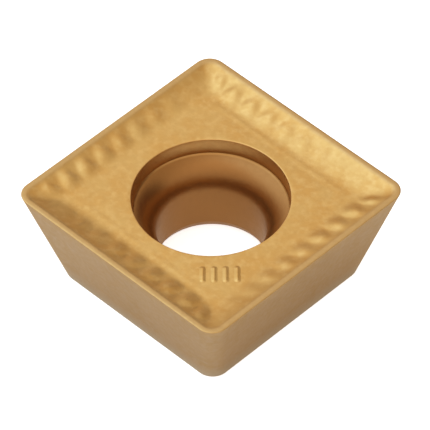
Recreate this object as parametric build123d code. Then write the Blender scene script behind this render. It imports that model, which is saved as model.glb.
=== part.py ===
from build123d import *
import math
import os

# Square indexable cutting insert, pressed and sintered in one piece: positive flanks, a chip-breaking
# groove with a fading row of bumps behind each cutting edge, and one hole for a screw with a rounded seat.
# Millimetres. +Z points up, out of the cutting face. The origin is the centre of the flat bottom face.

# ---- The blank ----
INSCRIBED_CIRCLE = 12.70      # across opposite cutting edges
THICKNESS = 5.12              # bottom face to cutting edge
CLEARANCE_ANGLE = 15.0        # lean of each flank under its cutting edge, degrees
CORNER_RADIUS = 0.82          # round of each corner, square to its slanted line

# ---- The rake face: land, chip groove and the flat around the hole ----
LAND_WIDTH = 0.20             # narrow flat land along the cutting edge
LAND_CORNER = 0.60            # corner radius of the land's inner edge, in plan
GROOVE_REACH = 1.60           # cutting edge to the bottom of the chip groove
GROOVE_DEPTH = 0.42           # cutting edge down to the bottom of the chip groove
GROOVE_CORNER = 0.20          # corner radius of the groove's bottom, in plan
GROOVE_ROUND = 0.80           # radius that blends the bottom of the groove
ISLAND_REACH = 2.30           # cutting edge to the rim of the flat island around the hole
ISLAND_DEPTH = 0.34           # cutting edge down to the island
ISLAND_CORNER = 0.90          # corner radius of the island, in plan

# ---- The bumps on the slope of the chip groove ----
BUMP_PITCH = 1.12             # spacing along the cutting edge
BUMP_NEAR_END = 1.43          # centre of the first, tallest bump from the corner that it starts at
BUMP_FAR_END = 2.20           # bare length left at the other end of the edge
BUMP_START = 0.48             # cutting edge to the outer end of the tallest bump
BUMP_FINISH = 1.46            # cutting edge to the inner end of the tallest bump
BUMP_RADIUS = 0.53            # round of a bump, the same for all
BUMP_RISE = 0.14              # height of the tallest bump above the slope
BUMP_ROOT = 0.10              # depth that every bump reaches into the slope
MITRE_GAP = 0.08              # a bump by a corner stops this far short of the next side's slope

# ---- The screw hole ----
BORE_RADIUS = 2.53            # straight bore
RIM_RADIUS = 3.64             # straight wall at the mouth of the hole
RIM_BREAK = 0.06              # bevel on the edge of the mouth
SEAT_DEPTH = 2.33             # island down to the foot of the rounded seat
SEAT_RADIUS = 1.73            # convex curve of the seat, seen in section
EXIT_HEIGHT = 0.47            # height of the flare at the bottom of the bore
EXIT_WIDTH = 0.25             # how far the flare opens the bore
OVERCUT = 1.0                 # how far cutting solids stand clear of the face that they start from

SIDES = 4

# ---- Sizes that follow ----
half_side = INSCRIBED_CIRCLE / 2
land_half = half_side - LAND_WIDTH
groove_half = half_side - GROOVE_REACH
groove_z = THICKNESS - GROOVE_DEPTH
island_half = half_side - ISLAND_REACH
island_z = THICKNESS - ISLAND_DEPTH
slope_angle = math.degrees(math.atan2(GROOVE_DEPTH, GROOVE_REACH - LAND_WIDTH))


def rounded_square(half, radius, z):
    """A square face with round corners, centred on the hole's axis at height z."""
    return Pos(0, 0, z) * RectangleRounded(2 * half, 2 * half, radius)


def make_blank():
    """The positive square block: every flank leans in from the cutting edge to the bottom face."""
    inset = THICKNESS * math.tan(math.radians(CLEARANCE_ANGLE))
    far = INSCRIBED_CIRCLE - inset
    lying = Wedge(INSCRIBED_CIRCLE, THICKNESS, INSCRIBED_CIRCLE, inset, inset, far, far)
    block = Pos(0, 0, THICKNESS / 2) * Rot(-90, 0, 0) * lying
    slanted = block.edges().filter_by(lambda edge: abs((edge @ 0).Z - (edge @ 1).Z) > THICKNESS / 2)
    return fillet(slanted, CORNER_RADIUS)


def make_groove_cutter():
    """What the die presses out of the top: the slopes from the land down to the groove's bottom."""
    bottom = rounded_square(groove_half, GROOVE_CORNER, groove_z)
    top = rounded_square(land_half, LAND_CORNER, THICKNESS)
    clear = rounded_square(land_half, LAND_CORNER, THICKNESS + OVERCUT)
    return loft([bottom, top, clear], ruled=True)


def make_island():
    """The low table around the hole, which rises gently from the groove's bottom."""
    foot = rounded_square(groove_half, GROOVE_CORNER, groove_z)
    table = rounded_square(island_half, ISLAND_CORNER, island_z)
    return loft([foot, table], ruled=True)


def groove_bottom_edges(body):
    """The edges that lie in the bottom of the chip groove."""
    return body.edges().filter_by_position(Axis.Z, groove_z - 0.001, groove_z + 0.001)


def make_bump(along, finish, rise):
    """One oval bump of the +X side, centred `along` the edge: the crown of a sunk round-ended bar."""
    middle = (BUMP_START + finish) / 2
    overall = (finish - BUMP_START) / math.cos(math.radians(slope_angle))
    end_run = math.sqrt(BUMP_RADIUS ** 2 - (BUMP_RADIUS - BUMP_RISE) ** 2)
    straight = max(overall - 2 * end_run, BUMP_ROOT)
    bar = revolve(split(SlotCenterToCenter(straight, 2 * BUMP_RADIUS), bisect_by=Plane.XZ), Axis.X)
    depth = BUMP_ROOT + rise
    crown = Box(overall + BUMP_RADIUS, 2 * BUMP_RADIUS, depth, align=(Align.CENTER, Align.CENTER, Align.MAX))
    bump = Pos(0, 0, rise - BUMP_RADIUS) * bar & Pos(0, 0, rise) * crown
    drop = (middle - LAND_WIDTH) * math.tan(math.radians(slope_angle))
    return Pos(half_side - middle, along, THICKNESS - drop) * Rot(0, -slope_angle, 0) * bump


def make_bump_row():
    """The bumps of the +X side: tallest by the +Y corner and fading towards the -Y corner."""
    room = INSCRIBED_CIRCLE - BUMP_NEAR_END - BUMP_FAR_END
    count = math.floor(room / BUMP_PITCH) + 1
    row = []
    for step in range(count):
        along = half_side - BUMP_NEAR_END - step * BUMP_PITCH
        finish = min(BUMP_FINISH, half_side - along - MITRE_GAP)
        rise = BUMP_RISE * (1 - (step / count) ** 2)
        row.append(make_bump(along, finish, rise))
    return row


def make_screw_hole():
    """The hole's solid of revolution: flare, straight bore, convex seat and bevelled mouth."""
    seat_foot = island_z - SEAT_DEPTH
    reach = RIM_RADIUS - BORE_RADIUS
    seat_top = seat_foot + math.sqrt(SEAT_RADIUS ** 2 - (SEAT_RADIUS - reach) ** 2)
    flare_run = EXIT_WIDTH / EXIT_HEIGHT * OVERCUT
    with BuildPart() as hole:
        with BuildSketch(Plane.XZ):
            with BuildLine():
                Polyline(
                    (0, -OVERCUT),
                    (BORE_RADIUS + EXIT_WIDTH + flare_run, -OVERCUT),
                    (BORE_RADIUS, EXIT_HEIGHT),
                    (BORE_RADIUS, seat_foot),
                )
                RadiusArc((BORE_RADIUS, seat_foot), (RIM_RADIUS, seat_top), SEAT_RADIUS)
                Polyline(
                    (RIM_RADIUS, seat_top),
                    (RIM_RADIUS, island_z - RIM_BREAK),
                    (RIM_RADIUS + RIM_BREAK, island_z),
                    (RIM_RADIUS + RIM_BREAK, THICKNESS + OVERCUT),
                    (0, THICKNESS + OVERCUT),
                    (0, -OVERCUT),
                )
            make_face()
        revolve(axis=Axis.Z)
    return hole.part


def make_insert():
    """The finished insert."""
    body = make_blank() - make_groove_cutter() + make_island()
    body = fillet(groove_bottom_edges(body), GROOVE_ROUND)
    row = make_bump_row()
    body = body + [Rot(0, 0, 360 / SIDES * side) * bump for side in range(SIDES) for bump in row]
    return body - make_screw_hole()


os.makedirs("parts", exist_ok=True)
export_step(make_insert(), "parts/insert.step")
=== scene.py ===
"""A square indexable carbide insert in its satin gold coat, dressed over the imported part.

One closed skin carries the whole insert: the honed cutting edge, the land, the chip groove with its
bumps, the table round the hole, the rounded screw seat, the bore, the bottom face and the leaning flanks.
A row of plain raised bars marks one corner. Sizes are in millimetres and angles in degrees; meshes are
written in metres.

Some values were found by separate fitting programs and are written here rounded: the sky's two base
colours and all of its panels but the fourth, the slope of the groove, the place and the profile of the
bumps, and the camera's place.
"""

import logging
import math
from dataclasses import dataclass, field
from enum import Enum

import bpy
import numpy as np
from mathutils import Matrix, Vector


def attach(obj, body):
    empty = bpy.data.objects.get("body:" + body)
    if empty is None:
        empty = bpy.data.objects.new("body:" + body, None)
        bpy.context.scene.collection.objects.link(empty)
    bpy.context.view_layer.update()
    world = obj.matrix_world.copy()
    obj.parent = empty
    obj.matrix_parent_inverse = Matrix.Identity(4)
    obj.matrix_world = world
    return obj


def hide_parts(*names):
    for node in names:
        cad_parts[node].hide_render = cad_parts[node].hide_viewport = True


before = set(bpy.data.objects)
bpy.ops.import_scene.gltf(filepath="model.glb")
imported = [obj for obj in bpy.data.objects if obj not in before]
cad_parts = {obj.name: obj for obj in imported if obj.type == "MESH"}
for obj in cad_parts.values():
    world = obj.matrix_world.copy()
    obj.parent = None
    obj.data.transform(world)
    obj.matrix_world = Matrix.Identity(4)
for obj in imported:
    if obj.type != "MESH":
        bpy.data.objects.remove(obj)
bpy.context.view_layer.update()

LOG = logging.getLogger("insert")
MM = 0.001
SIDES = 4
BODY = "root"
NODE = "insert"


class Zone(Enum):
    """The finishes on the skin, in the order of its material slots."""

    RAKE = 0
    FLANK = 1
    HOLE = 2


# ---------------------------------------------------------------------------------------------------
# Shapes
# ---------------------------------------------------------------------------------------------------


def soft_max(a: np.ndarray, b: np.ndarray, width: float) -> np.ndarray:
    """The greater of two heights, with the crease between them rounded over a band.

    Where the two differ by less than the band's width, a parabola (width - gap) squared over four
    widths is added, so that the slope turns evenly from one height to the other.

    Args:
        a: First height.
        b: Second height.
        width: Difference in height at which the rounding starts.

    Returns:
        The blended height.
    """
    lack = np.maximum(width - np.abs(a - b), 0.0)
    return np.maximum(a, b) + lack * lack / (4.0 * width)


def soft_min(a: np.ndarray, b: np.ndarray, width: float) -> np.ndarray:
    """The lesser of two heights, with the crease between them rounded over a band."""
    return -soft_max(-a, -b, width)


def smooth_step(share: np.ndarray) -> np.ndarray:
    """Eases a share from 0 to 1 as 3 u^2 - 2 u^3, level at both ends."""
    return share * share * (3 - 2 * share)


def grid_mesh(name: str, points: np.ndarray, wrap_rows: bool, wrap_columns: bool) -> bpy.types.Mesh:
    """Makes a mesh of four-sided faces from a grid of points.

    Face (i, j) joins the points (i, j), (i, j+1), (i+1, j+1) and (i+1, j); a wrapped direction joins its
    last line of points to its first.

    Args:
        name: Name of the mesh.
        points: Grid of places in millimetres, shaped (rows, columns, 3).
        wrap_rows: True where the last row joins the first.
        wrap_columns: True where the last column joins the first.

    Returns:
        The mesh, in metres, smooth shaded.
    """
    rows, columns = points.shape[:2]
    index = np.arange(rows * columns).reshape(rows, columns)
    down = np.roll(index, -1, axis=0) if wrap_rows else index[1:]
    here = index if wrap_rows else index[:-1]
    if not wrap_columns:
        here, down = here[:, :-1], down[:, :-1]
        step_here, step_down = here + 1, down + 1
    else:
        step_here, step_down = np.roll(here, -1, axis=1), np.roll(down, -1, axis=1)
    quads = np.stack([here, step_here, step_down, down], axis=-1).reshape(-1, 4)
    return faces_mesh(name, points.reshape(-1, 3), quads)


def faces_mesh(name: str, points: np.ndarray, quads: np.ndarray) -> bpy.types.Mesh:
    """Writes whole arrays of points and four-sided faces into a new smooth-shaded mesh.

    Args:
        name: Name of the mesh.
        points: Places in millimetres, shaped (count, 3).
        quads: Point numbers, shaped (faces, 4).

    Returns:
        The mesh, in metres.
    """
    mesh = bpy.data.meshes.new(name)
    mesh.vertices.add(len(points))
    mesh.vertices.foreach_set("co", (points * MM).astype(np.float32).ravel())
    mesh.loops.add(quads.size)
    mesh.loops.foreach_set("vertex_index", quads.astype(np.int32).ravel())
    mesh.polygons.add(len(quads))
    mesh.polygons.foreach_set("loop_start", np.arange(0, quads.size, 4, dtype=np.int32))
    mesh.polygons.foreach_set("use_smooth", np.ones(len(quads), dtype=bool))
    mesh.update(calc_edges=True)
    mesh.validate()
    return mesh


def point_attribute(mesh: bpy.types.Mesh, name: str, values: np.ndarray) -> None:
    """Stores one number for each point of a mesh, for its material to read."""
    layer = mesh.attributes.new(name, "FLOAT", "POINT")
    layer.data.foreach_set("value", values.astype(np.float32).ravel())


def place_piece(mesh: bpy.types.Mesh) -> bpy.types.Object:
    """Puts a mesh in the scene as an object at the origin, unturned and unscaled."""
    piece = bpy.data.objects.new(mesh.name, mesh)
    bpy.context.scene.collection.objects.link(piece)
    return piece


@dataclass
class Blank:
    """The positive square block: leaning flanks, round corners and a honed cutting edge."""

    inscribed_circle: float = 12.70
    thickness: float = 5.12
    clearance_angle: float = 15.0
    corner_radius: float = 0.82
    hone_width: float = 0.16
    hone_drop: float = 0.03
    bottom_break: float = 0.04
    bottom_rings: int = 5

    @property
    def half(self) -> float:
        """Half the width across opposite cutting edges."""
        return self.inscribed_circle / 2

    @property
    def lean(self) -> float:
        """How far a flank leans in for each millimetre down."""
        return math.tan(math.radians(self.clearance_angle))

    def hone(self, count: int) -> tuple[np.ndarray, np.ndarray]:
        """The crowned cutting edge, from the flank up and in to the land.

        It is the parabola that leaves the flank along its lean, one hone drop under the sharp edge,
        and runs level one hone width inside it. Its distance from the sharp edge is the drop down
        the flank times (1 - t) squared and the width inwards times t squared.

        Args:
            count: Points on the curve.

        Returns:
            Half widths and heights.
        """
        t = np.linspace(0.0, 1.0, count)
        low, high = (1 - t) ** 2, t**2
        half = self.half - low * self.hone_drop * self.lean - high * self.hone_width
        height = self.thickness - low * self.hone_drop
        return half, height

    def flank(self, count: int) -> tuple[np.ndarray, np.ndarray]:
        """The rounded bottom edge and the flank above it, from the bottom face up to the hone.

        The half width at a height z is half minus (thickness - z) times the lean; the bottom edge is
        an arc that leaves the bottom face level and meets the flank.

        Args:
            count: Points on the flank.

        Returns:
            Half widths and heights.
        """
        angle = math.radians(self.clearance_angle)
        radius = self.bottom_break
        foot = self.half - self.thickness * self.lean
        inset = radius * (1 - math.sin(angle)) / math.cos(angle)
        turn = np.linspace(-math.pi / 2, -angle, self.bottom_rings)
        arc_half = foot - inset + radius * np.cos(turn)
        arc_height = radius + radius * np.sin(turn)
        hone_half, hone_height = self.hone(2)
        rise = np.linspace(0.0, 1.0, count)[1:-1]
        wall_half = arc_half[-1] + rise * (hone_half[0] - arc_half[-1])
        wall_height = arc_height[-1] + rise * (hone_height[0] - arc_height[-1])
        return np.append(arc_half, wall_half), np.append(arc_height, wall_height)


@dataclass
class ChipGroove:
    """The land, the chip-breaking groove and the low table inside it."""

    blank: Blank = field(default_factory=Blank)
    land_width: float = 0.27
    land_corner: float = 0.55
    reach: float = 2.02
    depth: float = 0.385
    steepness: float = 0.411
    inner_fall: float = 0.35
    corner: float = 0.20
    corner_reach: float = 1.60
    floor_blend: float = 0.184
    table_reach: float = 2.31
    table_depth: float = 0.34
    table_corner: float = 0.90
    crest_blend: float = 0.03

    @property
    def table_height(self) -> float:
        """Height of the table round the hole."""
        return self.blank.thickness - self.table_depth

    def height(self, inset: np.ndarray) -> np.ndarray:
        """Height of the rake face at a distance in from the cutting edge.

        The outer part is the lesser of the level land and a slope that falls as a parabola, steepest
        behind the land and as deep as the groove at its reach, and falls on at an even rate further in.
        The inner part is the lesser of the rising bank and the level table. The face is the greater
        of the two, and every crease is rounded.

        Args:
            inset: Distance in from the cutting edge.

        Returns:
            Height above the bottom face.
        """
        top = np.full_like(inset, self.blank.thickness)
        run = self.reach - self.land_width
        easing = (self.steepness * run - self.depth) / run**2
        past = np.minimum(inset, self.reach) - self.land_width
        beyond = np.maximum(inset - self.reach, 0.0)
        scoop = top - self.steepness * past + easing * past**2 - self.inner_fall * beyond
        outer = soft_min(top, scoop, self.crest_blend)
        bank = (self.depth - self.table_depth) / (self.table_reach - self.reach)
        rising = top - self.depth + (inset - self.reach) * bank
        inner = soft_min(rising, np.full_like(inset, self.table_height), self.crest_blend)
        return soft_max(outer, inner, self.floor_blend)

    def corner_at(self, inset: np.ndarray) -> np.ndarray:
        """Corner radius in plan, straight between its values at the edge, land, groove and table."""
        stations = [0.0, self.land_width, self.corner_reach, self.table_reach]
        radii = [self.blank.corner_radius, self.land_corner, self.corner, self.table_corner]
        return np.interp(inset, stations, radii)

    def stations(self) -> np.ndarray:
        """Distances in from the edge at which the skin has a ring, close together at the creases."""
        crease = np.array([0.20, 0.235, 0.255, 0.275, 0.30, 0.33])
        slope = np.linspace(0.37, 1.84, 32)
        bank = np.array([1.92, 2.02, 2.14, 2.24, 2.34, 2.46, 2.60])
        return np.concatenate([crease, slope, bank])


@dataclass
class BumpRow:
    """The soft oval bumps on the groove's slope: tallest at one corner and fading to the other."""

    groove: ChipGroove = field(default_factory=ChipGroove)
    pitch: float = 1.12
    near_end: float = 1.43
    count: int = 9
    start: float = 0.216
    finish: float = 1.776
    rise: float = 0.115
    fading: float = 1.33
    fullness: float = 0.935
    flatness: float = 0.90
    flare: float = 0.48
    mitre_fade: float = 1.0

    def swell(self, inset: np.ndarray, along: np.ndarray) -> np.ndarray:
        """How far the bumps of one side stand over its slope.

        Across the row each bump is a squared cosine about one pitch wide, a little wider at its inner
        end, raised to a power that fills its flanks. Down the slope it is a squared cosine of a
        quarter turn times a power of the share of the way to its end. The heights of the row fall as
        1 minus a power of the share of the row. Towards the next side a bump fades out over the
        corner's mitre.

        Args:
            inset: Distance in from this side's cutting edge.
            along: Distance along this side from its middle.

        Returns:
            Height over the slope, nought where there is no bump.
        """
        half = self.groove.blank.half
        step = np.arange(self.count).reshape(-1, 1, 1)
        place = half - self.near_end - step * self.pitch
        rise = self.rise * (1 - (step / self.count) ** self.fading)
        middle = (self.start + self.finish) / 2
        narrowing = 1 - self.flare * (inset - middle)
        across = np.clip(np.abs(along - place) / self.pitch * narrowing, 0.0, 0.5)
        down = np.clip(np.abs(inset - middle) / (self.finish - middle), 0.0, 1.0)
        width_wise = np.maximum(np.cos(math.pi * across), 0.0) ** (2 * self.flatness)
        length_wise = np.cos(math.pi / 2 * down**self.fullness) ** 2
        to_mitre = np.clip((half - inset - np.abs(along)) / self.mitre_fade, 0.0, 1.0)
        return (rise * width_wise * length_wise).sum(axis=0) * smooth_step(to_mitre)

    def over(self, x: np.ndarray, y: np.ndarray, height: np.ndarray) -> np.ndarray:
        """Raises the rake face by the bumps of all four sides.

        Args:
            x: Places across.
            y: Places along.
            height: Height of the plain rake face there.

        Returns:
            Height of the face with its bumps.
        """
        half = self.groove.blank.half
        for side in range(SIDES):
            turn = side * math.pi / 2
            out = x * math.cos(turn) + y * math.sin(turn)
            along = y * math.cos(turn) - x * math.sin(turn)
            height = height + self.swell(half - out, along)
        return height


@dataclass
class ScrewHole:
    """The hole's profile: softened mouth, straight wall, convex seat, straight bore and flare."""

    bore_radius: float = 2.53
    mouth_radius: float = 3.64
    mouth_break: float = 0.05
    seat_depth: float = 2.33
    seat_radius: float = 1.52
    flare_height: float = 0.47
    flare_width: float = 0.25
    exit_break: float = 0.03
    mouth_rings: int = 6
    seat_rings: int = 16
    wall_rings: int = 5
    crease_gap: float = 0.015
    bore_lead: float = 0.5
    flare_gap: float = 0.02
    flare_shares: tuple = (0.03, 0.35, 0.7)
    exit_lead: float = 0.01
    exit_bulge: float = 0.4
    exit_height: float = 0.2

    @property
    def seat_middle(self) -> float:
        """Distance from the hole's axis to the middle of the seat's arc."""
        return self.bore_radius + self.seat_radius

    @property
    def seat_swing(self) -> float:
        """Angle of the seat's arc, from its foot up to the mouth's wall."""
        return math.acos((self.seat_middle - self.mouth_radius) / self.seat_radius)

    @property
    def seat_top(self) -> float:
        """Depth under the table at which the seat meets the mouth's wall."""
        return self.seat_depth - self.seat_radius * math.sin(self.seat_swing)

    def mouth(self, table: float) -> tuple[np.ndarray, np.ndarray]:
        """The mouth's softened edge, a quarter circle from the table down to the wall.

        Args:
            table: Height of the table round the hole.

        Returns:
            Radii and heights.
        """
        soft = self.mouth_break
        quarter = np.linspace(math.pi / 2, 0.0, self.mouth_rings)
        radii = self.mouth_radius + soft - soft * np.cos(quarter)
        return radii, table - soft + soft * np.sin(quarter)

    def seat(self, foot: float) -> tuple[np.ndarray, np.ndarray]:
        """The convex seat: an arc whose middle lies one seat radius outside the bore, level with its foot.

        Args:
            foot: Height of the seat's foot.

        Returns:
            Radii and heights.
        """
        swing = np.linspace(self.seat_swing, 0.0, self.seat_rings)
        radii = self.seat_middle - self.seat_radius * np.cos(swing)
        return radii, foot + self.seat_radius * np.sin(swing)

    def bore(self, foot: float) -> tuple[np.ndarray, np.ndarray]:
        """The straight bore under the seat, with a ring close above the flare.

        Args:
            foot: Height of the seat's foot.

        Returns:
            Radii and heights.
        """
        middle = (foot + self.flare_height) / 2
        heights = np.array([foot - self.bore_lead, middle, self.flare_height + self.flare_gap])
        return np.full(len(heights), self.bore_radius), heights

    def flare(self) -> tuple[np.ndarray, np.ndarray]:
        """The flare at the bottom of the bore and its softened exit on the bottom face.

        Returns:
            Radii and heights.
        """
        share = np.array(self.flare_shares)
        radii = self.bore_radius + share * self.flare_width
        last = self.bore_radius + self.flare_width
        soft = self.exit_break
        exit_radii = [last - self.exit_lead, last + self.exit_bulge * soft, last + soft]
        exit_heights = [soft, self.exit_height * soft, 0.0]
        return np.append(radii, exit_radii), np.append(self.flare_height * (1 - share), exit_heights)

    def profile(self, table: float) -> tuple[np.ndarray, np.ndarray]:
        """The hole's line from the table down to the bottom face.

        Args:
            table: Height of the table round the hole.

        Returns:
            Radii and heights.
        """
        foot = table - self.seat_depth
        mouth, seat = self.mouth(table), self.seat(foot)
        wall_z = np.linspace(mouth[1][-1], seat[1][0], self.wall_rings)[1:-1]
        wall_z = np.append(wall_z, seat[1][0] + self.crease_gap)
        wall = (np.full(len(wall_z), self.mouth_radius), wall_z)
        parts = [mouth, wall, seat, self.bore(foot), self.flare()]
        return np.concatenate([part[0] for part in parts]), np.concatenate([part[1] for part in parts])


@dataclass
class RingPattern:
    """How the points of every ring are shared out between the four sides and their corners."""

    per_side: int = 190
    per_corner: int = 18

    def plan(self, half: np.ndarray, corner: np.ndarray) -> tuple[np.ndarray, np.ndarray]:
        """Rings of rounded squares, one for each half width.

        A side's points are spread evenly between its corners; a corner's points are its middle plus
        the radius times (cos, sin). Each side is the first one turned by a quarter turn.

        Args:
            half: Half width of each ring.
            corner: Corner radius of each ring.

        Returns:
            Places across and along, shaped (rings, points).
        """
        half, corner = half.reshape(-1, 1), corner.reshape(-1, 1)
        spread = np.linspace(-1.0, 1.0, self.per_side).reshape(1, -1)
        swing = np.linspace(0.0, math.pi / 2, self.per_corner + 2)[1:-1].reshape(1, -1)
        middle = half - corner
        out = np.hstack([half + 0 * spread, middle + corner * np.cos(swing)])
        along = np.hstack([middle * spread, middle + corner * np.sin(swing)])
        turns = [side * math.pi / 2 for side in range(SIDES)]
        x = np.hstack([out * math.cos(turn) - along * math.sin(turn) for turn in turns])
        y = np.hstack([out * math.sin(turn) + along * math.cos(turn) for turn in turns])
        return x, y


# ---------------------------------------------------------------------------------------------------
# Finishes
# ---------------------------------------------------------------------------------------------------


class NodeBench:
    """Lays out and joins the nodes of one material."""

    def __init__(self, name: str) -> None:
        """Starts an empty material.

        Args:
            name: Name of the material.
        """
        self.material = bpy.data.materials.new(name)
        self.material.use_nodes = True
        self.tree = self.material.node_tree
        self.tree.nodes.clear()
        self.place = self.node("ShaderNodeTexCoord").outputs["Object"]

    def node(self, kind: str, **settings: object) -> bpy.types.Node:
        """Adds a node of a kind and sets its own properties."""
        made = self.tree.nodes.new(kind)
        for key, value in settings.items():
            setattr(made, key, value)
        return made

    def join(self, source: bpy.types.NodeSocket, target: bpy.types.NodeSocket) -> None:
        """Links an output to an input."""
        self.tree.links.new(source, target)

    def noise(self, size: float, detail: float = 2.0) -> bpy.types.NodeSocket:
        """Cloudy noise fixed to the piece.

        Args:
            size: Size of its blotches in millimetres.
            detail: Octaves of finer noise.

        Returns:
            The noise's value, from 0 to 1 and mostly near the middle.
        """
        cloud = self.node("ShaderNodeTexNoise")
        cloud.inputs["Scale"].default_value = 1 / (size * MM)
        cloud.inputs["Detail"].default_value = detail
        self.join(self.place, cloud.inputs["Vector"])
        return cloud.outputs["Fac"]

    def spread(self, value: bpy.types.NodeSocket, source: tuple, target: tuple) -> bpy.types.NodeSocket:
        """Carries a value from one range to another, held at the ends.

        Args:
            value: The value to carry.
            source: Its lowest and highest.
            target: What they become.

        Returns:
            The new value.
        """
        ranged = self.node("ShaderNodeMapRange")
        self.join(value, ranged.inputs["Value"])
        for socket, number in zip(("From Min", "From Max", "To Min", "To Max"), (*source, *target)):
            ranged.inputs[socket].default_value = number
        return ranged.outputs["Result"]

    def attribute(self, name: str) -> bpy.types.NodeSocket:
        """A number stored on the piece's own points."""
        return self.node("ShaderNodeAttribute", attribute_name=name).outputs["Fac"]

    def tint(self, base: object, other: tuple, amount: bpy.types.NodeSocket) -> bpy.types.NodeSocket:
        """Mixes a colour over another by an amount from 0 to 1.

        Args:
            base: Colour socket or plain colour below.
            other: Plain colour above.
            amount: How much of it shows.

        Returns:
            The mixed colour.
        """
        mix = self.node("ShaderNodeMix", data_type="RGBA")
        first, second = mix.inputs[6], mix.inputs[7]
        if isinstance(base, tuple):
            first.default_value = (*base, 1.0)
        else:
            self.join(base, first)
        second.default_value = (*other, 1.0)
        self.join(amount, mix.inputs[0])
        return mix.outputs[2]

    def bump(
        self,
        height: bpy.types.NodeSocket,
        depth: float,
        strength: float,
        under: bpy.types.NodeSocket | None = None,
    ) -> bpy.types.NodeSocket:
        """Turns a height into a bumped normal.

        Args:
            height: Value from 0 to 1.
            depth: What its full range stands for, in millimetres.
            strength: Share of it that shows.
            under: Normal of the coarser bumps below.

        Returns:
            The bumped normal.
        """
        made = self.node("ShaderNodeBump")
        made.inputs["Strength"].default_value = strength
        made.inputs["Distance"].default_value = depth * MM
        self.join(height, made.inputs["Height"])
        if under is not None:
            self.join(under, made.inputs["Normal"])
        return made.outputs["Normal"]

    def finish(
        self,
        colour: bpy.types.NodeSocket,
        roughness: bpy.types.NodeSocket,
        normal: bpy.types.NodeSocket,
        metallic: float,
        edge_tint: tuple,
    ) -> bpy.types.Material:
        """Ends the tree in one metallic shader.

        Args:
            colour: Base colour.
            roughness: Roughness.
            normal: Bumped normal.
            metallic: How metallic the coat is, all over.
            edge_tint: Colour of its reflection at a grazing angle.

        Returns:
            The material.
        """
        shader = self.node("ShaderNodeBsdfPrincipled")
        shader.inputs["Metallic"].default_value = metallic
        shader.inputs["Specular Tint"].default_value = (*edge_tint, 1.0)
        self.join(colour, shader.inputs["Base Color"])
        self.join(roughness, shader.inputs["Roughness"])
        self.join(normal, shader.inputs["Normal"])
        output = self.node("ShaderNodeOutputMaterial")
        self.join(shader.outputs["BSDF"], output.inputs["Surface"])
        return self.material


@dataclass(frozen=True)
class SinteredCoat:
    """A satin gold coat over pressed and sintered carbide."""

    name: str
    colour: tuple
    warm: tuple
    pale: tuple
    edge_tint: tuple = (1.0, 0.95, 0.85)
    metallic: float = 1.0
    roughness: tuple = (0.30, 0.44)
    cloud_size: float = 1.3
    patch_size: float = 0.34
    cloud_range: tuple = (0.38, 0.64)
    patch_range: tuple = (0.46, 0.70)
    patch_amount: float = 0.8
    dull_share: float = 0.6
    dull_range: tuple = (0.3, 0.7)
    grain_size: float = 0.045
    grain_depth: float = 0.0016
    ripple_size: float = 0.30
    ripple_depth: float = 0.006
    edge_colour: tuple = (0.595, 0.387, 0.165)
    edge_amount: float = 0.9
    # Darker tone down the hole, partly a duller coat and partly painted shade of the recess; off unless its
    # amount is set.
    deep_coat_and_shade_colour: tuple = (0.70, 0.44, 0.15)
    deep_coat_and_shade_amount: float = 0.0
    foot_colour: tuple = (0.67, 0.58, 0.44)
    foot_amount: float = 0.0

    def make(self) -> bpy.types.Material:
        """Builds the coat's nodes: slow clouds of warmer tone, small pale patches, grain and ripples."""
        bench = NodeBench(self.name)
        clouds = bench.spread(bench.noise(self.cloud_size, 3.0), self.cloud_range, (0.0, 1.0))
        specks = bench.noise(self.patch_size, 4.0)
        patches = bench.spread(specks, self.patch_range, (0.0, self.patch_amount))
        worn = bench.spread(bench.attribute("edge"), (0.0, 1.0), (0.0, self.edge_amount))
        colour = bench.tint(self.colour, self.warm, clouds)
        colour = bench.tint(colour, self.pale, patches)
        colour = bench.tint(colour, self.edge_colour, worn)
        # Darker, redder tone from the seat's top down: partly a duller coat, partly painted shade of the
        # recess.
        deep_coat_and_shade = bench.spread(bench.attribute("deep_coat_and_shade"), (0.0, 1.0), (0.0, self.deep_coat_and_shade_amount))
        colour = bench.tint(colour, self.deep_coat_and_shade_colour, deep_coat_and_shade)
        foot = bench.spread(bench.attribute("foot"), (0.0, 1.0), (0.0, self.foot_amount))
        colour = bench.tint(colour, self.foot_colour, foot)
        dull = bench.noise(self.patch_size * self.dull_share, 4.0)
        rough = bench.spread(dull, self.dull_range, self.roughness)
        grain = bench.noise(self.grain_size, 3.0)
        ripple = bench.noise(self.ripple_size, 2.0)
        normal = bench.bump(ripple, self.ripple_depth, 1.0)
        normal = bench.bump(grain, self.grain_depth, 1.0, normal)
        return bench.finish(colour, rough, normal, self.metallic, self.edge_tint)


RAKE_COAT = SinteredCoat(
    name="gold_rake_coat",
    colour=(0.70, 0.445, 0.155),
    warm=(0.68, 0.40, 0.125),
    pale=(0.76, 0.50, 0.19),
)
FLANK_COAT = SinteredCoat(
    name="grey_gold_flank_coat",
    colour=(0.60, 0.435, 0.245),
    warm=(0.58, 0.41, 0.215),
    pale=(0.61, 0.46, 0.29),
    edge_tint=(0.85, 0.82, 0.80),
    roughness=(0.40, 0.52),
    cloud_size=1.7,
    foot_amount=1.0,
)
HOLE_COAT = SinteredCoat(
    name="hole_coat_and_deep_shade",
    colour=(0.74, 0.45, 0.16),
    warm=(0.72, 0.42, 0.14),
    pale=(0.76, 0.47, 0.17),
    metallic=0.87,
    roughness=(0.28, 0.36),
    # From the seat's top down the coat is darker and redder: partly a duller coat, partly painted shade of
    # the recess.
    deep_coat_and_shade_colour=(0.39, 0.184, 0.057),
    deep_coat_and_shade_amount=1.0,
)


# ---------------------------------------------------------------------------------------------------
# Pieces
# ---------------------------------------------------------------------------------------------------


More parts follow.
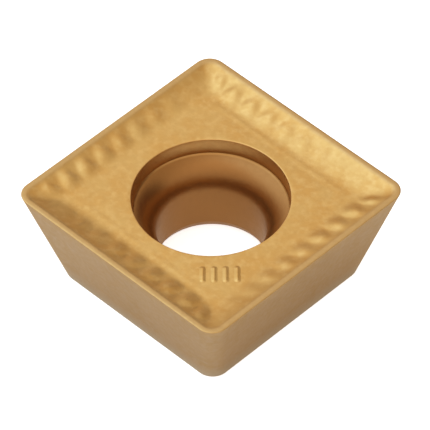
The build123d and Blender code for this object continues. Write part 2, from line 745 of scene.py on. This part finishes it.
@dataclass
class InsertSkin:
    """The whole insert as one closed skin, a ring-shaped grid with the hole through its middle."""

    bumps: BumpRow = field(default_factory=BumpRow)
    hole: ScrewHole = field(default_factory=ScrewHole)
    pattern: RingPattern = field(default_factory=RingPattern)
    hone_rings: int = 10
    table_rings: int = 6
    floor_rings: int = 7
    flank_rings: int = 10
    wear_drop: float = 0.05
    deep_coat_and_shade_fade: float = 0.10
    foot_top: float = 0.9
    foot_fade: float = 0.7

    @property
    def groove(self) -> ChipGroove:
        """The groove that the bumps stand in."""
        return self.bumps.groove

    @property
    def blank(self) -> Blank:
        """The block that the groove is pressed in."""
        return self.groove.blank

    def rake(self) -> tuple[np.ndarray, np.ndarray, np.ndarray]:
        """Rings of the hone, the land, the groove with its bumps, and the table's rim."""
        hone_half, hone_height = self.blank.hone(self.hone_rings)
        inset = self.groove.stations()
        half = np.append(hone_half, self.blank.half - inset)
        inset = np.append(self.blank.half - hone_half, inset)
        x, y = self.pattern.plan(half, self.groove.corner_at(inset))
        plain = np.append(hone_height, self.groove.height(inset[self.hone_rings :]))
        height = np.repeat(plain.reshape(-1, 1), x.shape[1], axis=1)
        raised = self.bumps.over(x, y, height)
        height[self.hone_rings :] = raised[self.hone_rings :]
        return x, y, height

    def bridge(
        self,
        outer: tuple[np.ndarray, np.ndarray],
        inner: tuple[np.ndarray, np.ndarray],
        height: float,
        count: int,
    ) -> tuple[np.ndarray, np.ndarray, np.ndarray]:
        """Level rings that turn one outline evenly into another, without either of the two.

        Each point moves straight from its place on the first outline to its place on the second.

        Args:
            outer: Places of the first outline.
            inner: Places of the second outline.
            height: Height of the level face.
            count: Rings between the two.

        Returns:
            Places across, along and up.
        """
        share = np.linspace(0.0, 1.0, count + 2)[1:-1].reshape(-1, 1)
        x = outer[0] * (1 - share) + inner[0] * share
        y = outer[1] * (1 - share) + inner[1] * share
        return x, y, np.full_like(x, height)

    def points(self) -> tuple[np.ndarray, dict[Zone, slice], dict[str, np.ndarray]]:
        """Works out the whole grid of points.

        Returns:
            The grid in millimetres, the rings that each finish covers, and the numbers that the
            finishes read at each point.
        """
        rake = self.rake()
        table = self.groove.table_height
        radii, heights = self.hole.profile(table)
        bearing = np.arctan2(rake[1][-1], rake[0][-1])
        circle_x, circle_y = np.cos(bearing).reshape(1, -1), np.sin(bearing).reshape(1, -1)
        hole = (radii.reshape(-1, 1) * circle_x, radii.reshape(-1, 1) * circle_y)
        hole_z = np.repeat(heights.reshape(-1, 1), circle_x.shape[1], axis=1)
        flank_half, flank_height = self.blank.flank(self.flank_rings)
        inset = self.blank.half - flank_half
        corner = self.blank.corner_radius - 0 * inset
        flank = self.pattern.plan(flank_half, corner)
        flank_z = np.repeat(flank_height.reshape(-1, 1), circle_x.shape[1], axis=1)
        top = self.bridge(
            (rake[0][-1:], rake[1][-1:]), (hole[0][:1], hole[1][:1]), table, self.table_rings
        )
        floor = self.bridge(
            (hole[0][-1:], hole[1][-1:]), (flank[0][:1], flank[1][:1]), 0.0, self.floor_rings
        )
        parts = [rake, top, (*hole, hole_z), floor, (*flank, flank_z)]
        grid = np.stack([np.vstack([part[axis] for part in parts]) for axis in range(3)], axis=-1)
        starts = np.cumsum([0] + [len(part[0]) for part in parts])
        zones = {
            Zone.RAKE: slice(0, starts[2]),
            Zone.HOLE: slice(starts[2], starts[4]),
            Zone.FLANK: slice(starts[4], starts[5]),
        }
        shares = {
            "edge": self.edge_wear(grid),
            "deep_coat_and_shade": self.deep_coat_and_shade_share(grid),
            "foot": self.foot_share(grid),
        }
        return grid, zones, shares

    def edge_wear(self, grid: np.ndarray) -> np.ndarray:
        """Share of edge wear: 1 on the cutting edge and the land, 0 from one wear drop lower.

        Args:
            grid: The grid of points.

        Returns:
            A number from 0 to 1 for each point.
        """
        drop = self.blank.thickness - grid[..., 2]
        return np.clip(1 - drop / self.wear_drop, 0.0, 1.0)

    def deep_coat_and_shade_share(self, grid: np.ndarray) -> np.ndarray:
        """Share of the darker tone down the hole, partly a duller coat and partly painted shade: 0 on the
        mouth's wall, 1 on the seat and below, with a short fade.

        Args:
            grid: The grid of points.

        Returns:
            A number from 0 to 1 for each point.
        """
        depth = self.groove.table_height - grid[..., 2]
        share = np.clip((depth - self.hole.seat_top) / self.deep_coat_and_shade_fade + 0.5, 0.0, 1.0)
        return smooth_step(share)

    def foot_share(self, grid: np.ndarray) -> np.ndarray:
        """How near a point lies to the bottom face: 0 from the foot's top up, 1 one fade below it.

        Args:
            grid: The grid of points.

        Returns:
            A number from 0 to 1 for each point.
        """
        share = np.clip((self.foot_top - grid[..., 2]) / self.foot_fade, 0.0, 1.0)
        return smooth_step(share)

    def build(self) -> bpy.types.Object:
        """Builds and dresses the skin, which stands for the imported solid.

        Returns:
            The finished piece.
        """
        grid, zones, numbers = self.points()
        mesh = grid_mesh("insert_skin", grid, wrap_rows=True, wrap_columns=True)
        for name, values in numbers.items():
            point_attribute(mesh, name, values)
        for coat in (RAKE_COAT, FLANK_COAT, HOLE_COAT):
            mesh.materials.append(coat.make())
        slots = np.zeros(grid.shape[:2], dtype=np.int32)
        for zone, rings in zones.items():
            slots[rings] = zone.value
        mesh.polygons.foreach_set("material_index", slots.ravel())
        mesh.update()
        piece = place_piece(mesh)
        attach(piece, BODY)
        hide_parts(NODE)
        return piece


@dataclass
class IndexBars:
    """Plain raised bars on the table that tell one corner from the others."""

    groove: ChipGroove = field(default_factory=ChipGroove)
    count: int = 4
    pitch: float = 0.52
    width: float = 0.30
    length: float = 1.00
    rise: float = 0.04
    sink: float = 0.02
    reach: float = 4.80
    aside: float = 0.36
    crown_share: float = 0.95
    around: int = 64
    layers: int = 12

    def bar(self, across: float) -> np.ndarray:
        """Points of one bar, a low round-ended ridge with a round crown.

        Ring by ring a straight-sided, round-ended outline draws in evenly towards the bar's middle
        line, while its height follows 3 u^2 - 2 u^3 of the way u: soft at the foot, level on the
        crown. The straight sides keep their length. The lowest ring is sunk in the table.

        Args:
            across: Place of the bar beside the row's middle.

        Returns:
            Grid of points, shaped (layers, around, 3).
        """
        half = self.around // 2
        turn = np.linspace(0.0, math.pi, half).reshape(1, -1)
        turn = np.hstack([turn, turn + math.pi])
        end = np.hstack([np.ones((1, half)), -np.ones((1, half))])
        way = np.linspace(0.0, self.crown_share, self.layers - 1).reshape(-1, 1)
        size = self.width / 2 * np.vstack([[1.0], 1 - way])
        height = np.vstack([[-self.sink], self.rise * smooth_step(way)])
        side = across + size * np.cos(turn)
        away = end * (self.length - self.width) / 2 + size * np.sin(turn)
        outward, sideways = np.array([1.0, -1.0]) / math.sqrt(2), np.array([1.0, 1.0]) / math.sqrt(2)
        x = outward[0] * (self.reach - away) + sideways[0] * side
        y = outward[1] * (self.reach - away) + sideways[1] * side
        return np.stack([x, y, self.groove.table_height + height + 0 * x], axis=-1)

    def caps(self) -> np.ndarray:
        """Faces that close one bar's foot and crown, each a row of strips from side to side.

        Strip k joins two neighbouring points on one side of the ring to the two that lie across the
        bar from them.

        Returns:
            Point numbers of the faces, shaped (faces, 4).
        """
        step = np.arange(self.around // 2 - 1)
        last = self.around // 4 - 1
        right, left = (last - step) % self.around, (last + 1 + step) % self.around
        strip = np.stack([right, left, (left + 1) % self.around, (right - 1) % self.around], axis=-1)
        crown = strip + (self.layers - 1) * self.around
        return np.vstack([strip[:, ::-1], crown])

    def build(self) -> bpy.types.Object:
        """Builds and dresses the row of bars.

        Returns:
            The finished piece.
        """
        places = self.aside + (np.arange(self.count) - (self.count - 1) / 2) * self.pitch
        bars = [self.bar(place) for place in places]
        size = self.layers * self.around
        index = np.arange(size).reshape(self.layers, self.around)
        lower, upper = index[:-1], index[1:]
        wall = np.stack([lower, np.roll(lower, -1, 1), np.roll(upper, -1, 1), upper], -1).reshape(-1, 4)
        quads = np.vstack([wall, self.caps()])
        points = np.vstack([bar.reshape(-1, 3) for bar in bars])
        faces = np.vstack([quads + number * size for number in range(self.count)])
        mesh = faces_mesh("index_bars", points, faces)
        mesh.materials.append(RAKE_COAT.make())
        piece = place_piece(mesh)
        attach(piece, BODY)
        return piece


# ---------------------------------------------------------------------------------------------------
# Studio
# ---------------------------------------------------------------------------------------------------


@dataclass(frozen=True)
class SkyPanel:
    """A round patch of the sky, bright like a soft lamp or dark like a black card."""

    toward: tuple
    inner: float
    outer: float
    colour: tuple


@dataclass
class Sky:
    """The light from all round: a slow rise in brightness overhead, with panels over it."""

    horizon: tuple = (0.43, 0.348, 0.318)
    overhead: tuple = (1.242, 1.106, 0.913)
    panels: tuple = (
        SkyPanel((-0.493, -0.173, 0.852), 15.0, 46.3, (1.307, 1.488, 1.677)),
        SkyPanel((-0.445, 0.751, 0.487), 0.3, 14.6, (0.026, 0.011, 0.046)),
        SkyPanel((0.272, 0.487, 0.830), 4.6, 53.6, (0.643, 0.555, 0.436)),
        SkyPanel((0.350, 0.930, 0.150), 25.0, 45.0, (0.080, 0.040, 0.030)),
        SkyPanel((0.162, 0.924, 0.345), 6.8, 20.8, (0.096, 0.014, 0.016)),
    )

    def hang(self) -> bpy.types.World:
        """Builds the sky's nodes.

        Between horizon and overhead the colour follows the height of the direction. Over that, one
        after another, each panel covers what lies nearer to its middle than its inner angle and fades
        out smoothly by its outer angle.

        Returns:
            The world.
        """
        world = bpy.data.worlds.new("pale_studio")
        world.use_nodes = True
        tree = world.node_tree
        direction = tree.nodes.new("ShaderNodeTexCoord").outputs["Generated"]
        parts = tree.nodes.new("ShaderNodeSeparateXYZ")
        tree.links.new(direction, parts.inputs["Vector"])
        under = tree.nodes.new("ShaderNodeMix")
        under.data_type = "RGBA"
        under.inputs[6].default_value = (*self.horizon, 1.0)
        under.inputs[7].default_value = (*self.overhead, 1.0)
        tree.links.new(parts.outputs["Z"], under.inputs[0])
        for panel in self.panels:
            under = self.cover(tree, direction, under, panel)
        tree.links.new(under.outputs[2], tree.nodes["Background"].inputs["Color"])
        bpy.context.scene.world = world
        return world

    def cover(
        self,
        tree: bpy.types.NodeTree,
        direction: bpy.types.NodeSocket,
        under: bpy.types.Node,
        panel: SkyPanel,
    ) -> bpy.types.Node:
        """Lays one panel over the sky so far.

        Args:
            tree: The world's nodes.
            direction: The direction looked in.
            under: The mix that holds the sky so far.
            panel: The panel to lay over it.

        Returns:
            The mix that holds the sky with the panel.
        """
        cosine = tree.nodes.new("ShaderNodeVectorMath")
        cosine.operation = "DOT_PRODUCT"
        cosine.inputs[1].default_value = Vector(panel.toward).normalized()
        tree.links.new(direction, cosine.inputs[0])
        angle = tree.nodes.new("ShaderNodeMath")
        angle.operation = "ARCCOSINE"
        tree.links.new(cosine.outputs["Value"], angle.inputs[0])
        share = tree.nodes.new("ShaderNodeMapRange")
        share.interpolation_type = "SMOOTHSTEP"
        share.inputs["From Min"].default_value = math.radians(panel.outer)
        share.inputs["From Max"].default_value = math.radians(panel.inner)
        tree.links.new(angle.outputs["Value"], share.inputs["Value"])
        mix = tree.nodes.new("ShaderNodeMix")
        mix.data_type = "RGBA"
        mix.inputs[7].default_value = (*panel.colour, 1.0)
        tree.links.new(under.outputs[2], mix.inputs[6])
        tree.links.new(share.outputs["Result"], mix.inputs[0])
        return mix


@dataclass
class Studio:
    """Two floors under a soft sky, and the camera. Places are in millimetres."""

    sky: Sky = field(default_factory=Sky)
    floor_half: float = 700.0
    floor_points: int = 29
    floor_drop: float = 0.01
    floor_cloud: float = 60.0
    floor_colour: tuple = (0.93, 0.93, 0.93)
    floor_glow: float = 0.85
    card_colour: tuple = (0.93, 0.915, 0.90)
    card_drop: float = 0.005
    card_glow: float = 0.06
    # Glow of the reflected floor in a disc under the hole: a painted pool of light for the hole's
    # reflections.
    card_hole_light_pool: float = 0.34
    light_pool_radius: float = 2.9
    light_pool_fade: float = 1.1
    azimuth: float = 44.917
    elevation: float = 46.600
    roll: float = -0.533
    distance: float = 213.2
    lens: float = 389.25
    aim_height: float = 2.5
    aim_right: float = 0.1676
    aim_up: float = 0.7387

    def lay_floor(self, name: str, drop: float, colour: tuple, glow: float, hole_light_pool: float) -> bpy.types.Object:
        """Lays a floor, a softly lit table: a level square sheet of even squares.

        Args:
            name: Name of the sheet.
            drop: How far it lies under the insert's bottom face.
            colour: Its paint.
            glow: How brightly it shines of itself.
            hole_light_pool: The same under the insert's hole, where a higher value paints a pool of light.

        Returns:
            The floor.
        """
        across = np.linspace(-self.floor_half, self.floor_half, self.floor_points)
        x, y = np.meshgrid(across, across, indexing="ij")
        grid = np.stack([x, y, -drop + 0 * x], axis=-1)
        mesh = grid_mesh(name, grid[::-1], wrap_rows=False, wrap_columns=False)
        bench = NodeBench(name + "_paint")
        tone = bench.spread(bench.noise(self.floor_cloud, 2.0), (0.3, 0.7), (0.0, 1.0))
        mixed = bench.tint(colour, tuple(0.98 * part for part in colour), tone)
        paint = bench.node("ShaderNodeBsdfDiffuse")
        bench.join(mixed, paint.inputs["Color"])
        lamp = bench.node("ShaderNodeEmission")
        away = bench.node("ShaderNodeVectorMath", operation="LENGTH")
        bench.join(bench.place, away.inputs[0])
        edge = (self.light_pool_radius * MM, self.light_pool_fade * self.light_pool_radius * MM)
        # Brighter glow in a disc under the insert's hole: a painted pool of light that the bore and the
        # hole's walls reflect.
        bench.join(bench.spread(away.outputs["Value"], edge, (hole_light_pool, glow)), lamp.inputs["Strength"])
        bench.join(mixed, lamp.inputs["Color"])
        both = bench.node("ShaderNodeAddShader")
        bench.join(paint.outputs["BSDF"], both.inputs[0])
        bench.join(lamp.outputs["Emission"], both.inputs[1])
        output = bench.node("ShaderNodeOutputMaterial")
        bench.join(both.outputs["Shader"], output.inputs["Surface"])
        mesh.materials.append(bench.material)
        floor = place_piece(mesh)
        return floor

    def lay_floors(self) -> None:
        """Lays the pale floor, and over it a greyer one that only the metal's reflections meet, with a
        painted pool of light under the hole.
        """
        glow = self.floor_glow
        pale = self.lay_floor("pale_floor", self.floor_drop, self.floor_colour, glow, glow)
        pale.visible_glossy = False
        card = self.lay_floor(
            "reflected_floor", self.card_drop, self.card_colour, self.card_glow, self.card_hole_light_pool
        )
        card.visible_camera = card.visible_diffuse = card.visible_shadow = False

    def place_camera(self) -> bpy.types.Object:
        """Places the camera on its bearing, aimed beside the insert's middle.

        Returns:
            The camera.
        """
        bearing, rise, roll = (math.radians(v) for v in (self.azimuth, self.elevation, self.roll))
        back = Vector(
            (math.sin(bearing) * math.cos(rise), -math.cos(bearing) * math.cos(rise), math.sin(rise))
        )
        level = Vector((math.cos(bearing), math.sin(bearing), 0.0))
        upright = back.cross(level)
        right = level * math.cos(roll) + upright * math.sin(roll)
        up = upright * math.cos(roll) - level * math.sin(roll)
        aim = Vector((0.0, 0.0, self.aim_height)) + right * self.aim_right + up * self.aim_up
        data = bpy.data.cameras.new("studio_camera")
        data.lens = self.lens
        data.sensor_width = 36.0
        data.clip_start = 0.01
        camera = bpy.data.objects.new("studio_camera", data)
        turned = Matrix((right, up, back)).transposed().to_4x4()
        turned.translation = (aim + back * self.distance) * MM
        camera.matrix_world = turned
        bpy.context.scene.collection.objects.link(camera)
        bpy.context.scene.camera = camera
        return camera


def main() -> None:
    """Builds the insert and its studio in order and reports each piece."""
    logging.basicConfig(level=logging.INFO, format="%(name)s: %(message)s")
    bpy.context.scene.view_settings.view_transform = "Standard"
    studio = Studio()
    studio.place_camera()
    studio.lay_floors()
    studio.sky.hang()
    for builder in (InsertSkin(), IndexBars()):
        piece = builder.build()
        LOG.info("%s: %d faces", piece.name, len(piece.data.polygons))


if __name__ == "__main__":
    main()
